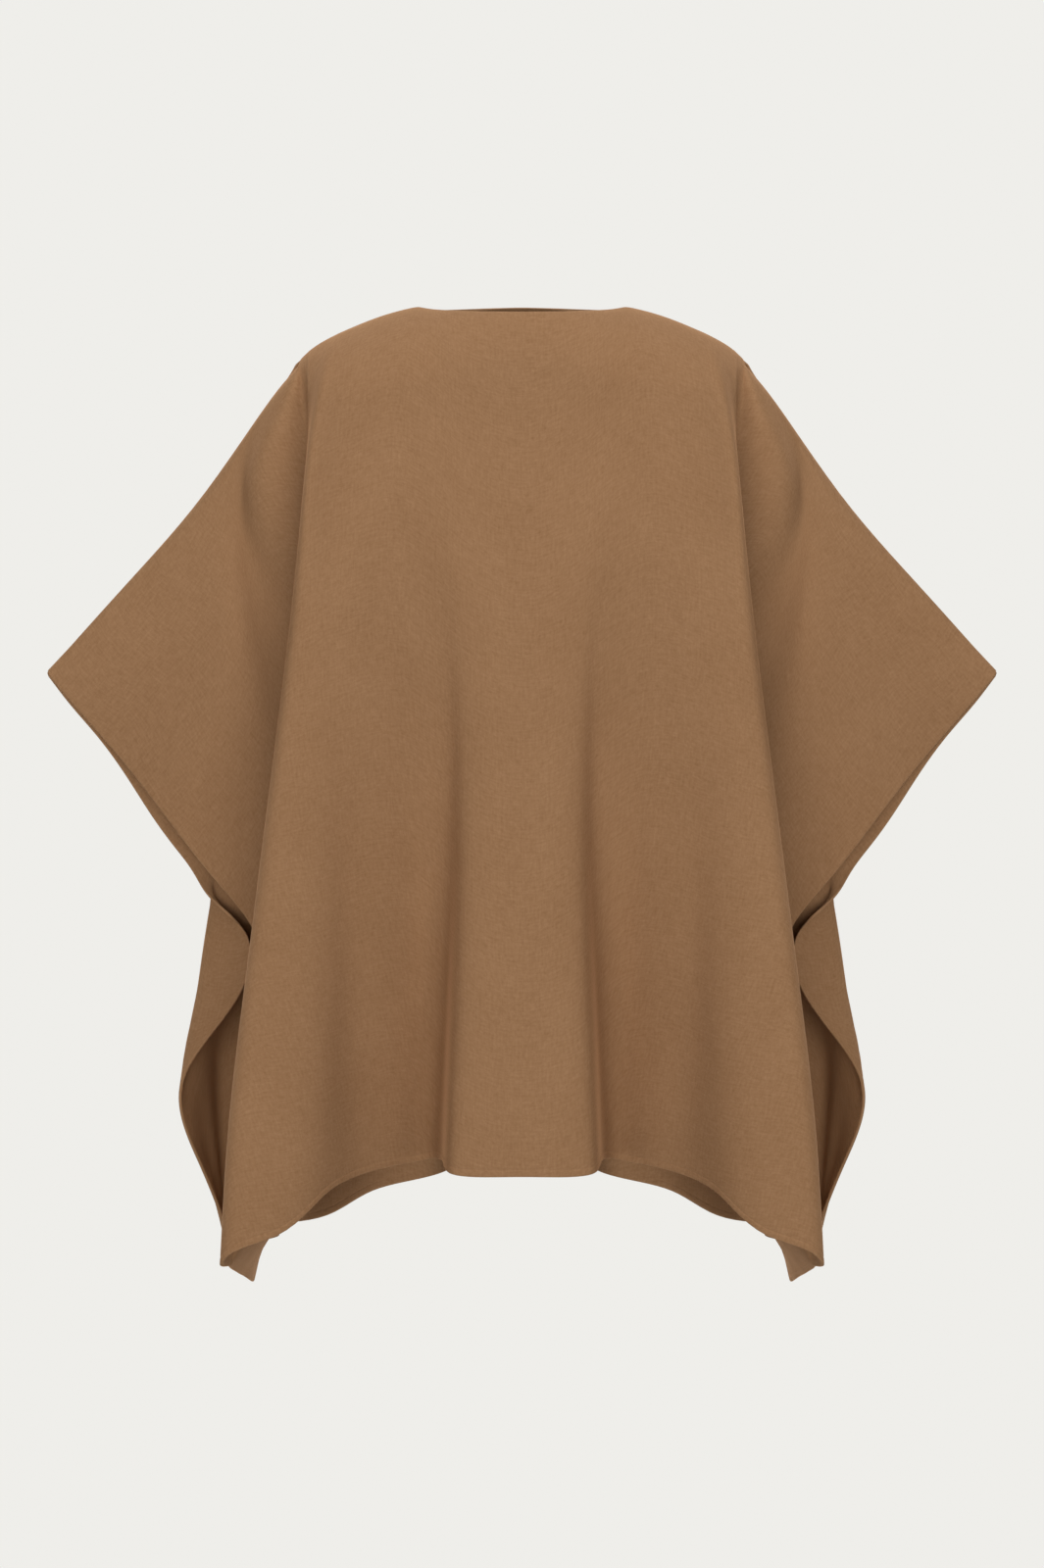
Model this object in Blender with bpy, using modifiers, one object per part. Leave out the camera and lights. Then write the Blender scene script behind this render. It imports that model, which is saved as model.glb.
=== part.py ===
"""Pull-on wool cape, front and back panel, worn on the shoulders.

Metres, Z up, the front faces -Y.  The origin is midway between the two shoulder
neck points, where the wearer's shoulders carry the cloth.  Every table is in
millimetres and gives one half; the other half mirrors it.
"""
import math
from collections import namedtuple

import bmesh
import bpy
import numpy as np

MM = 0.001
WALL = 2.8                    # thickness of the double-faced wool
SEAM_GAP = 0.3                # space left between the panels along the shoulder seam
NECK_HALF_WIDTH = 103.0       # centre to shoulder neck point
FRONT_NECK_ARC = 138.0        # half the front neckline, along the cloth
BACK_NECK_ARC = 132.0         # half the back neckline, along the cloth
FRONT_NECK_OUT = -80.0        # how far the neckline stands forward at centre front
FRONT_NECK_DROP = -15.0
FRONT_NECK_SPREAD = 1.2       # power of the cosine that fades the drop toward the shoulder
BACK_NECK_OUT = 66.0
BACK_NECK_RISE = 10.0
BACK_NECK_SPREAD = 3.2        # power of the cosine that fades the rise toward the shoulder
NECK_ROUNDING = 1.4           # power of the cosine that rounds the neckline forward and back
SEAM_EASE = 10                # mm either side over which the shoulder seam's slope is eased
COLUMNS = 60                  # cloth squares from side edge to side edge
ROWS = 24                     # cloth squares from shoulder seam to hem
FOLD_CARE = 95.0              # mm of cloth one radian of turning is worth when spacing columns
ROW_CROWDING = 1.5            # rows crowd toward the shoulder seam
SAMPLES = 601                 # places along half a row when the columns are spaced

Slope = namedtuple("Slope", "along degrees")

# Fall of the shoulder seam, along the cloth from the shoulder neck point.
SHOULDER = (
    Slope(0, 6), Slope(20, 15), Slope(61, 22), Slope(94, 25.5), Slope(111, 31),
    Slope(127, 43.5), Slope(144, 55), Slope(175, 56), Slope(275, 53.5), Slope(300, 51.5),
    Slope(350, 49.3), Slope(400, 48), Slope(551, 47.7),
)

# Heights at which a fold line is placed, as shares of its drop from seam to hem.
LEVELS = namedtuple("Levels", "seam chest waist hip thigh knee hem")(
    0.0, 0.12, 0.30, 0.50, 0.70, 0.85, 1.0)

# A fold line runs down the cloth.  seam: its start, along the top edge from the
# centre.  roll: drop over which the cloth turns from lying flat on the seam to
# hanging.  hem: height of its lower end.  across: distance from the centre at the
# levels below the seam.  out: distance from the mid plane at every level.
Fold = namedtuple("Fold", "name seam roll hem across out")

FRONT_FOLDS = (
    Fold("centre", 0, 62, -867.4,
         (0, 0, 0, 0, 0, 0), (-97, -106, -126, -141, -153, -161, -168)),
    Fold("box_edge", 48, 68, -867,
         (40, 38, 34, 32, 38, 48), (-97, -106, -126, -138.5, -150.5, -159, -165)),
    Fold("box_corner", 64, 72, -865,
         (56, 54, 49, 49, 56, 66), (-96.5, -106, -125.5, -132, -140, -147, -154)),
    Fold("box_wall", 78, 78, -861,
         (68, 66, 60, 59, 66, 74), (-96, -105.5, -125, -123, -121, -120, -120)),
    Fold("box_root", 94, 84, -860.5,
         (82, 81, 79, 71, 75, 83), (-95, -105, -123.5, -112.5, -98, -79, -63)),
    Fold("valley", 120, 90, -865,
         (106, 106, 106, 99, 101, 105), (-94, -104, -122, -109.5, -87, -66, -50)),
    Fold("valley_rise", 144, 95, -868.5,
         (130, 132, 135, 131, 131, 133), (-92, -102.5, -121, -114, -97, -80, -66)),
    Fold("lobe_foot", 170, 98, -876,
         (156, 162, 167, 168, 168, 167), (-88, -100, -121, -121, -109, -100, -92)),
    Fold("lobe_slope", 192, 92, -889,
         (180, 188, 191, 190, 191, 194), (-83, -96, -120.5, -129, -127, -127, -126)),
    Fold("lobe", 216, 82, -926,
         (202, 212, 224, 229, 235, 240), (-77, -92, -119, -138, -148, -155, -159)),
    Fold("nose_front", 234, 72, -942,
         (210.5, 223.5, 243, 262, 275.5, 282.5), (-70, -87, -115.5, -135.5, -149, -159, -164)),
    Fold("nose", 246, 64, -953,
         (213, 227, 248, 270, 285, 293), (-60, -76, -106, -126, -140, -150, -156)),
    Fold("nose_back", 258, 54, -959.5,
         (213, 221, 239, 262, 278, 291), (-52, -68, -82, -102, -116, -126, -130)),
    Fold("pleat_in", 265, 49, -966,
         (207, 163, 132, 157, 199, 289), (-43, -51, -59, -78, -84, -88, -98)),
    Fold("pleat_root", 272, 44, -972.5,
         (214, 160, 128, 152, 194, 287.5), (-38, -44, -46, -66, -70, -70, -68)),
    Fold("shoulder_ridge", 281, 30, -978,
         (259, 192, 138, 158, 196, 286), (-38, -50, -33, -52, -52, -50, -44)),
    Fold("sleeve_in", 306, 22, -982.5,
         (278, 217, 150, 164, 200, 285), (-26, -33, -26, -40, -34, -28, -22)),
    Fold("sleeve_mid", 450, 10, -991,
         (296, 244, 190, 200, 228, 282), (-14, -34, -27, -27, -8, 8, 14)),
    Fold("sleeve_out", 560, 7, -997.5,
         (334, 266, 226, 232, 246, 281), (-8, -28, -26, -18, 6, 26, 44)),
    Fold("side_edge", 685, 6, -1003,
         (423, 330.6, 262, 256, 262, 280), (-5, -7, -12, -10, 18, 44, 70)),
)

BACK_FOLDS = (
    Fold("centre", 0, 56, -888,
         (0, 0, 0, 0, 0, 0), (67, 87, 106, 120, 134, 146, 156)),
    Fold("box_edge", 48, 62, -888,
         (42, 43, 46, 50, 53, 56), (61, 87, 106, 120, 133, 144, 152)),
    Fold("box_corner", 66, 68, -889,
         (58, 60, 62, 65, 67, 69), (60, 86, 104, 115, 122, 128, 132)),
    Fold("box_root", 86, 76, -891,
         (76, 78, 79, 81, 83, 85), (64, 85, 101, 103, 92, 86, 84)),
    Fold("valley", 116, 84, -896,
         (108, 112, 113, 113, 113, 112), (68, 83, 98, 96, 84, 72, 62)),
    Fold("lobe_foot", 150, 86, -908,
         (142, 150, 151, 152, 154, 156), (73, 82, 97, 101, 92, 78, 66)),
    Fold("lobe_slope", 180, 80, -936,
         (172, 180, 185, 190, 195, 200), (69, 78, 97, 110, 114, 112, 106)),
    Fold("lobe", 208, 72, -951,
         (196, 206, 217, 228, 238, 246), (62, 74, 96, 116, 134, 146, 152)),
    Fold("nose_front", 232, 64, -955,
         (210, 224, 245, 262, 274, 282), (54, 68, 92, 114, 136, 152, 164)),
    Fold("nose", 246, 56, -957,
         (216, 234, 258, 276, 288, 297), (44, 58, 82, 102, 124, 140, 152)),
    Fold("nose_back", 264, 48, -960,
         (217, 230, 250, 270, 282, 292), (34, 49, 66, 84, 108, 124, 134)),
    Fold("pleat_root", 290, 36, -960,
         (212, 170, 150, 192, 226, 257), (28, 33, 57, 67, 85, 102, 112)),
    Fold("pleat_turn", 314, 30, -960.5,
         (222, 176, 154, 195, 231, 260), (24, 26, 45, 53, 71, 86, 100)),
    Fold("sleeve_in", 380, 17, -968,
         (262, 190, 190, 286, 306, 305), (19, 26, 37, 43, 64, 76, 86)),
    Fold("sleeve_mid", 470, 10, -970,
         (300, 246, 276, 320, 319, 308), (12, 18, 27, 22.5, 43, 60, 77)),
    Fold("sleeve_out", 560, 7, -971,
         (350, 294, 314, 334, 326, 305), (8, 13, 20, 15, 27, 49, 69)),
    Fold("flap", 626, 6, -970,
         (388, 326, 323, 345, 328, 301), (6, 11, 17, 5, 13, 39, 63)),
    Fold("side_edge", 679, 6, -970,
         (428, 354, 277, 347, 329, 297), (5, 9, 14, -16, 2, 29, 57)),
)

# A swing pushes one fold line aside over part of its drop: at is the middle of the
# push, reach how far it is felt up and down, both as shares of the drop.
Swing = namedtuple("Swing", "fold at reach across out")

FRONT_SWINGS = (
    Swing("shoulder_ridge", 0.05, 0.05, -9, 0),
    Swing("side_edge", 0.41, 0.07, -11, 0),
)

BACK_SWINGS = (
    Swing("side_edge", 0.05, 0.05, 3, 0),
    Swing("side_edge", 0.18, 0.06, -1, 0),
    Swing("side_edge", 0.37, 0.05, 7, 0),
    Swing("side_edge", 0.44, 0.04, -6, 0),
    Swing("sleeve_out", 0.62, 0.10, -7, 0),
    Swing("flap", 0.58, 0.08, -3, 0),
)

Panel = namedtuple("Panel", "name folds swings neck_arc neck_out neck_height neck_spread colour")
PANELS = (
    Panel("front_panel", FRONT_FOLDS, FRONT_SWINGS, FRONT_NECK_ARC, FRONT_NECK_OUT,
          FRONT_NECK_DROP, FRONT_NECK_SPREAD, (0.310, 0.176, 0.089)),
    Panel("back_panel", BACK_FOLDS, BACK_SWINGS, BACK_NECK_ARC, BACK_NECK_OUT,
          BACK_NECK_RISE, BACK_NECK_SPREAD, (0.290, 0.162, 0.082)),
)


def spline(knots, values, at):
    """Natural cubic through values, a row per knot, read at the places in at."""
    count = len(knots)
    gap = np.diff(knots)
    slope = np.diff(values, axis=0) / gap[:, None]
    system = np.eye(count)
    right = np.zeros_like(values, dtype=float)
    inner = np.arange(1, count - 1)
    system[inner, inner - 1] = gap[:-1]
    system[inner, inner] = 2.0 * (gap[:-1] + gap[1:])
    system[inner, inner + 1] = gap[1:]
    right[1:-1] = 6.0 * np.diff(slope, axis=0)
    bend = np.linalg.solve(system, right)
    k = np.clip(np.searchsorted(knots, at, side="right") - 1, 0, count - 2)
    t = (at - knots[k])[:, None]
    h = gap[k][:, None]
    return (values[k] + t * (slope[k] - h * (2.0 * bend[k] + bend[k + 1]) / 6.0)
            + t ** 2 * bend[k] / 2.0 + t ** 3 * (bend[k + 1] - bend[k]) / (6.0 * h))


def shoulder_point(along):
    """Distance across and height of the shoulder seam, along mm from the neck point."""
    step = 1.0
    run = np.arange(0.0, SHOULDER[-1].along + 40.0, step)
    angle = np.radians(np.interp(run, [s.along for s in SHOULDER],
                                 [s.degrees for s in SHOULDER]))
    window = np.ones(2 * SEAM_EASE + 1) / (2 * SEAM_EASE + 1)
    angle = np.convolve(np.pad(angle, SEAM_EASE, mode="edge"), window, "valid")
    middle = (angle[1:] + angle[:-1]) / 2.0
    across = NECK_HALF_WIDTH + step * np.concatenate([[0.0], np.cumsum(np.cos(middle))])
    height = -step * np.concatenate([[0.0], np.cumsum(np.sin(middle))])
    return np.interp(along, run, across), np.interp(along, run, height)


def top_edge(panel):
    """Neckline then shoulder seam, one point for each fold line."""
    seam = np.array([fold.seam for fold in panel.folds], dtype=float)
    beyond = seam - panel.neck_arc
    across, height = shoulder_point(np.maximum(beyond, 0.0))
    turn = np.clip(seam / panel.neck_arc, 0.0, 1.0) * math.pi / 2.0
    on_neck = beyond < 0.0
    side = math.copysign(1.0, panel.neck_out)
    across = np.where(on_neck, NECK_HALF_WIDTH * np.sin(turn), across)
    out = np.where(on_neck, panel.neck_out * np.cos(turn) ** NECK_ROUNDING, 0.0)
    height = np.where(on_neck, panel.neck_height * np.cos(turn) ** panel.neck_spread, height)
    return np.stack([across, out + side * SEAM_GAP / 2.0, height], axis=1)


def fold_lines(panel, shares):
    """Points of every fold line at the shares of its drop, both halves."""
    top = top_edge(panel)
    levels = np.array(LEVELS)
    lines = np.zeros((len(panel.folds), len(shares), 3))
    for i, fold in enumerate(panel.folds):
        across = np.array((top[i, 0],) + tuple(fold.across))
        out = np.array(fold.out, dtype=float)
        placed = spline(levels, np.stack([across, out], axis=1), shares)
        for swing in panel.swings:
            if swing.fold == fold.name:
                felt = np.exp(-((shares - swing.at) / swing.reach) ** 2)
                placed += felt[:, None] * (swing.across, swing.out)
        drop = top[i, 2] - fold.hem
        turned = np.clip(shares * drop / fold.roll, 0.0, 1.0)
        eased = np.sqrt(1.0 - (1.0 - turned) ** 2)
        lines[i, :, 0] = placed[:, 0]
        lines[i, :, 1] = top[i, 1] + (placed[:, 1] - top[i, 1]) * eased
        lines[i, :, 2] = top[i, 2] - shares * drop
    mirrored = lines[:0:-1] * np.array([-1.0, 1.0, 1.0])
    return np.concatenate([mirrored, lines])


def cloth(panel, places, shares):
    """Middle of the wall: places run -1..1 from edge to edge, shares 0..1 seam to hem."""
    lines = fold_lines(panel, shares)
    at_levels = fold_lines(panel, np.array(LEVELS))[:, 1:]
    chord = np.linalg.norm(np.diff(at_levels, axis=0), axis=2).mean(axis=1)
    knots = np.concatenate([[0.0], np.cumsum(chord)])
    knots -= knots[len(knots) // 2]
    flat = lines.reshape(len(knots), -1)
    return spline(knots, flat, places * knots[-1]).reshape(len(places), len(shares), 3)


def column_places(panel):
    """Places for the columns, closer where the cloth turns sharply."""
    fine = np.linspace(0.0, 1.0, SAMPLES)
    grid = cloth(panel, fine, np.linspace(0.2, 1.0, 9))
    step = np.diff(grid, axis=0)
    length = np.linalg.norm(step, axis=2)
    unit = step / length[:, :, None]
    turn = np.linalg.norm(np.diff(unit, axis=0), axis=2)
    cost = length.mean(axis=1)
    cost[1:] += FOLD_CARE * turn.mean(axis=1)
    spent = np.concatenate([[0.0], np.cumsum(cost)])
    half = COLUMNS // 2
    right = np.interp(np.linspace(0.0, spent[-1], half + 1), spent, fine)
    return np.concatenate([-right[:0:-1], right])


def open_sheet(name, grid, front):
    """Mesh of a grid of points, its faces looking away from the wearer."""
    columns, rows = grid.shape[:2]
    at = np.arange(columns * rows).reshape(columns, rows)
    corners = [at[:-1, :-1], at[:-1, 1:], at[1:, 1:], at[1:, :-1]]
    if not front:
        corners.reverse()
    faces = np.stack(corners, axis=2).reshape(-1, 4)
    mesh = bpy.data.meshes.new(name)
    mesh.from_pydata((grid.reshape(-1, 3) * MM).tolist(), [], faces.tolist())
    mesh.update()
    return mesh


def add_panel(panel, collection):
    """One panel as a closed wall of even thickness, trimmed at the seam plane."""
    shares = np.linspace(0.0, 1.0, ROWS + 1) ** ROW_CROWDING
    grid = cloth(panel, column_places(panel), shares)
    side = math.copysign(1.0, panel.neck_out)
    mesh = open_sheet(panel.name, grid, side < 0.0)
    body = bpy.data.objects.new(panel.name, mesh)
    collection.objects.link(body)
    wall = body.modifiers.new("wall", "SOLIDIFY")
    wall.thickness = WALL * MM
    wall.offset = 0.0
    wall.use_even_offset = True
    wall.use_quality_normals = True
    bpy.context.view_layer.update()
    graph = bpy.context.evaluated_depsgraph_get()
    solid = bpy.data.meshes.new_from_object(body.evaluated_get(graph))
    body.modifiers.clear()
    body.data = solid
    bpy.data.meshes.remove(mesh)
    solid.name = panel.name

    count = grid.shape[0] * grid.shape[1]
    limit = SEAM_GAP / 2.0 * MM
    for column in range(grid.shape[0]):
        for layer in (0, count):
            vertex = solid.vertices[layer + column * grid.shape[1]]
            vertex.co.y = side * max(side * vertex.co.y, limit)

    tidy = bmesh.new()
    tidy.from_mesh(solid)
    bmesh.ops.recalc_face_normals(tidy, faces=tidy.faces)
    tidy.to_mesh(solid)
    tidy.free()

    material = bpy.data.materials.new(panel.name + "_wool")
    material.use_nodes = True
    shader = material.node_tree.nodes["Principled BSDF"]
    shader.inputs["Base Color"].default_value = panel.colour + (1.0,)
    shader.inputs["Roughness"].default_value = 0.92
    solid.materials.clear()
    solid.materials.append(material)


def main():
    for item in list(bpy.data.objects):
        bpy.data.objects.remove(item, do_unlink=True)
    collection = bpy.data.collections.new("wool_cape")
    bpy.context.scene.collection.children.link(collection)
    for panel in PANELS:
        add_panel(panel, collection)


main()
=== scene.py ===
"""Pull-on wool cape: the cloth of its front and back panel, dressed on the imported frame.

Z is up and the front faces -Y.  The tables are in millimetres and each gives one
half; the other half mirrors it.  They follow the fold lines of the frame's own
panels, with a crisper middle fold in front and a little more wave in the side edges.
"""
import math
from collections import namedtuple

import bpy
import numpy as np
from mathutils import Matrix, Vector


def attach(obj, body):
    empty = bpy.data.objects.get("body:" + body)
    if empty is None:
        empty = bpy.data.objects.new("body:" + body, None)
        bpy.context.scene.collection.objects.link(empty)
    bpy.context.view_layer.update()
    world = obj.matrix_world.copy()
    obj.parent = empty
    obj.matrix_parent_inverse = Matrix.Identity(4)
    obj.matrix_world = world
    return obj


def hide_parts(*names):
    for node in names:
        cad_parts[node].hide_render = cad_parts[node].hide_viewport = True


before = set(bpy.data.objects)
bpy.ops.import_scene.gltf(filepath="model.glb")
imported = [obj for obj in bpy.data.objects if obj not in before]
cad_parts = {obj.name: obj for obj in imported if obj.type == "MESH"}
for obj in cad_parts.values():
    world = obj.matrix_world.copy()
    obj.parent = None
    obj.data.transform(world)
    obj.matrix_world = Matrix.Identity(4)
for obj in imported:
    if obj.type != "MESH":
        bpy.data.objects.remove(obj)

bl_info = {
    "name": "Pull-on Wool Cape",
    "version": (1, 0, 0),
    "blender": (4, 5, 0),
    "location": "View3D > Sidebar > Wool Cape",
    "description": "Dresses the packed frame of a pull-on wool cape in felted wool",
    "category": "Add Mesh",
}

MM = 0.001
SEAM_GAP = 0.3                # space between the two panels along the shoulder seam
SEAM_EASE = 10                # mm either side over which the seam's slope is eased
SEAM_SPARE = 40.0             # mm of seam worked out past its last slope
NECK_HALF_WIDTH = 103.0       # centre to shoulder neck point
NECK_ROUNDING = 1.4           # power of the cosine that rounds the neckline out

# The worn form: where each fold line runs. ------------------------------------------

# Fall of the shoulder seam.  along: distance on the cloth from the shoulder neck
# point; degrees: its slope below level there.
Slope = namedtuple("Slope", "along degrees")

SHOULDER = (
    Slope(0, 6), Slope(20, 15), Slope(61, 22), Slope(94, 25.5), Slope(111, 31),
    Slope(127, 43.5), Slope(144, 55), Slope(175, 56), Slope(275, 53.5), Slope(300, 51.5),
    Slope(350, 49.3), Slope(400, 48), Slope(551, 47.7),
)

# Heights at which a fold line is placed, as shares of its drop from seam to hem.
LEVELS = namedtuple("Levels", "seam chest waist hip thigh knee hem")(
    0.0, 0.12, 0.30, 0.50, 0.70, 0.85, 1.0)

# A fold line runs down the cloth.  seam: its start, along the top edge from the
# centre.  roll: drop over which the cloth turns from lying flat on the seam to
# hanging.  hem: height of its lower end.  across: distance from the centre at the
# levels below the seam.  out: distance from the mid plane at every level.
Fold = namedtuple("Fold", "name seam roll hem across out")

FRONT_FOLDS = (
    Fold("centre", 0, 62, -867.4,
         (0, 0, 0, 0, 0, 0), (-97, -106, -126, -141, -153, -161, -168)),
    Fold("box_edge", 48, 68, -867,
         (42, 42, 42, 44, 50, 58), (-97, -106, -126, -138.5, -150.5, -159, -165)),
    Fold("box_corner", 64, 72, -865,
         (58, 57, 55, 57, 63, 70), (-96.5, -106, -125.5, -133, -142.5, -150, -157)),
    Fold("box_wall", 78, 78, -861,
         (70, 68, 65, 66, 71, 76), (-96, -105.5, -125, -123, -121, -120, -120)),
    Fold("box_root", 94, 84, -860.5,
         (82, 81, 80, 76, 79, 85), (-95, -105, -123.5, -112.5, -98, -79, -63)),
    Fold("valley", 120, 90, -865,
         (106, 106, 106, 99, 101, 105), (-94, -104, -122, -109.5, -87, -66, -50)),
    Fold("valley_rise", 144, 95, -868.5,
         (130, 132, 135, 131, 131, 133), (-92, -102.5, -121, -114, -97, -80, -66)),
    Fold("lobe_foot", 170, 98, -876,
         (156, 162, 167, 168, 168, 167), (-88, -100, -121, -121, -109, -100, -92)),
    Fold("lobe_slope", 192, 92, -889,
         (180, 188, 191, 190, 191, 194), (-83, -96, -120.5, -129, -127, -127, -126)),
    Fold("lobe", 216, 82, -926,
         (202, 212, 224, 229, 235, 240), (-77, -92, -119, -138, -148, -155, -159)),
    Fold("nose_front", 234, 72, -942,
         (210.5, 223.5, 243, 262, 275.5, 282.5), (-70, -87, -115.5, -135.5, -149, -159, -164)),
    Fold("nose", 246, 64, -953,
         (213, 227, 248, 270, 285, 293), (-60, -76, -106, -126, -140, -150, -156)),
    Fold("nose_back", 258, 54, -959.5,
         (213, 221, 239, 262, 278, 291), (-52, -68, -82, -102, -116, -126, -130)),
    Fold("pleat_in", 265, 49, -966,
         (207, 163, 132, 157, 199, 289), (-43, -51, -59, -78, -84, -88, -98)),
    Fold("pleat_root", 272, 44, -972.5,
         (214, 160, 128, 152, 194, 287.5), (-38, -44, -46, -66, -70, -70, -68)),
    Fold("shoulder_ridge", 281, 30, -978,
         (259, 192, 138, 158, 196, 286), (-38, -50, -33, -52, -52, -50, -44)),
    Fold("sleeve_in", 306, 22, -982.5,
         (278, 217, 150, 164, 200, 285), (-26, -33, -26, -40, -34, -28, -22)),
    Fold("sleeve_mid", 450, 10, -991,
         (296, 244, 190, 200, 228, 282), (-14, -34, -27, -27, -8, 8, 14)),
    Fold("sleeve_out", 560, 7, -997.5,
         (334, 266, 226, 232, 246, 281), (-8, -28, -26, -18, 6, 26, 44)),
    Fold("side_edge", 685, 6, -1003,
         (423, 330.6, 262, 256, 262, 280), (-5, -7, -12, -10, 18, 44, 70)),
)

BACK_FOLDS = (
    Fold("centre", 0, 56, -888,
         (0, 0, 0, 0, 0, 0), (67, 87, 106, 120, 134, 146, 156)),
    Fold("box_edge", 48, 62, -888,
         (42, 43, 46, 50, 53, 56), (61, 87, 106, 120, 133, 144, 152)),
    Fold("box_corner", 66, 68, -889,
         (58, 60, 62, 65, 67, 69), (60, 86, 104, 115, 122, 128, 132)),
    Fold("box_root", 86, 76, -891,
         (76, 78, 79, 81, 83, 85), (64, 85, 101, 103, 92, 86, 84)),
    Fold("valley", 116, 84, -896,
         (108, 112, 113, 113, 113, 112), (68, 83, 98, 96, 84, 72, 62)),
    Fold("lobe_foot", 150, 86, -908,
         (142, 150, 151, 152, 154, 156), (73, 82, 97, 101, 92, 78, 66)),
    Fold("lobe_slope", 180, 80, -936,
         (172, 180, 185, 190, 195, 200), (69, 78, 97, 110, 114, 112, 106)),
    Fold("lobe", 208, 72, -951,
         (196, 206, 217, 228, 238, 246), (62, 74, 96, 116, 134, 146, 152)),
    Fold("nose_front", 232, 64, -955,
         (210, 224, 245, 262, 274, 282), (54, 68, 92, 114, 136, 152, 164)),
    Fold("nose", 246, 56, -957,
         (216, 234, 258, 276, 288, 297), (44, 58, 82, 102, 124, 140, 152)),
    Fold("nose_back", 264, 48, -960,
         (217, 230, 250, 270, 282, 292), (34, 49, 66, 84, 108, 124, 134)),
    Fold("pleat_root", 290, 36, -960,
         (212, 170, 150, 192, 226, 257), (28, 33, 57, 67, 85, 102, 112)),
    Fold("pleat_turn", 314, 30, -960.5,
         (222, 176, 154, 195, 231, 260), (24, 26, 45, 53, 71, 86, 100)),
    Fold("sleeve_in", 380, 17, -968,
         (262, 190, 190, 286, 306, 305), (19, 26, 37, 43, 64, 76, 86)),
    Fold("sleeve_mid", 470, 10, -970,
         (300, 246, 276, 320, 319, 308), (12, 18, 27, 22.5, 43, 60, 77)),
    Fold("sleeve_out", 560, 7, -971,
         (350, 294, 314, 334, 326, 305), (8, 13, 20, 15, 27, 49, 69)),
    Fold("flap", 626, 6, -970,
         (388, 326, 323, 345, 328, 301), (6, 11, 17, 5, 13, 39, 63)),
    Fold("side_edge", 679, 6, -970,
         (428, 354, 277, 347, 329, 297), (5, 9, 14, -16, 2, 29, 57)),
)

# A swing pushes one fold line aside over part of its drop.  at: the middle of the
# push; reach: how far it is felt up and down, both as shares of the drop; across:
# the push away from the centre.
Swing = namedtuple("Swing", "fold at reach across")

FRONT_SWINGS = (
    Swing("shoulder_ridge", 0.05, 0.05, -9),
    Swing("side_edge", 0.14, 0.10, -5),
    Swing("side_edge", 0.41, 0.07, -11),
)

BACK_SWINGS = (
    Swing("side_edge", 0.05, 0.05, 3),
    Swing("side_edge", 0.18, 0.06, -1),
    Swing("side_edge", 0.38, 0.04, 9),
    Swing("side_edge", 0.44, 0.04, -5),
    Swing("sleeve_out", 0.62, 0.10, -7),
    Swing("flap", 0.58, 0.08, -3),
)

# The cloth's own small form. ----------------------------------------------------------

EDGE_FADE = 0.5               # mm over which the turned-in edge thins off
GROOVE_REACH = 0.7            # mm from the felling groove's middle to its side

# A crease is a soft ridge from one place on the cloth to another.  along: distance
# from the centre line, down: distance below the top edge, both measured on the cloth;
# width: how far its sides reach; rise: its height.
Crease = namedtuple("Crease", "name along down to_along to_down width rise")

FRONT_CREASES = (
    Crease("corner_bend", 262, 800, 222, 838, 7, 0.5),
)

BACK_CREASES = (
    Crease("corner_bend", 258, 790, 226, 822, 8, 0.5),
)

# neck_arc: half the neckline along the cloth; neck_out and neck_height: its middle;
# neck_spread: power of the cosine that fades its height toward the shoulder;
# cut_width, cut_length and cut_area: the panel laid flat, in metres.
Panel = namedtuple("Panel", "name node slot folds swings creases neck_arc neck_out neck_height "
                            "neck_spread cut_width cut_length cut_area")

FRONT = Panel(
    name="front_cloth", node="front_panel", slot="wool_front",
    folds=FRONT_FOLDS, swings=FRONT_SWINGS, creases=FRONT_CREASES,
    neck_arc=138.0, neck_out=-80.0, neck_height=-15.0, neck_spread=1.2,
    cut_width=1.398, cut_length=1.003, cut_area=1.078)

BACK = Panel(
    name="back_cloth", node="back_panel", slot="wool_back",
    folds=BACK_FOLDS, swings=BACK_SWINGS, creases=BACK_CREASES,
    neck_arc=132.0, neck_out=66.0, neck_height=10.0, neck_spread=3.2,
    cut_width=1.418, cut_length=0.975, cut_area=1.042)

# How finely the cloth is drawn. ------------------------------------------------------

COLUMNS = 236                 # points from side edge to side edge, rims included
ROWS = 156                    # points from top edge to hem, rims included
SAMPLES_DOWN = 700            # points along a column before it is spaced by length
SAMPLE_CROWDING = 2.0         # power that crowds those points toward the top edge
SAMPLES_ACROSS = 801          # places along half a row when the columns are spaced
FOLD_CARE = 60.0              # mm of cloth one radian of turning is worth to a column
TURN_FROM = 0.15              # share of the drop below which turning is measured
TURN_HEIGHTS = 12             # heights at which it is measured
PLAIN_LENGTH = 1000.0         # mm of a plain column, whose spacing the others stretch
COLUMN_SHIFT = 4000.0         # mm, longer than any column
TINY = 1e-9                   # least length that a direction is divided by

# Distances in from an edge at which its first rows or columns of points lie.
RIM_STEPS = (0.0, 0.18, 0.5, 0.95, 1.5, 2.6, 4.2, 5.6, 6.4, 7.0, 7.6, 8.6)

# How finely the backdrop is drawn.
FLOOR_RINGS = 10
SWEEP_RINGS = 24
WALL_RINGS = 4
BACKDROP_SPOKES = 96
FIRST_RING = 0.02             # radius in metres of the disc that closes the floor

# The wool's patterns and the light on it. ---------------------------------------------

# Waves of a pattern in a metre of cloth, across and down; detail and roughness: its
# finer waves; relief: its share in the height of the nap.
Grain = namedtuple("Grain", "across down detail roughness relief")

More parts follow.
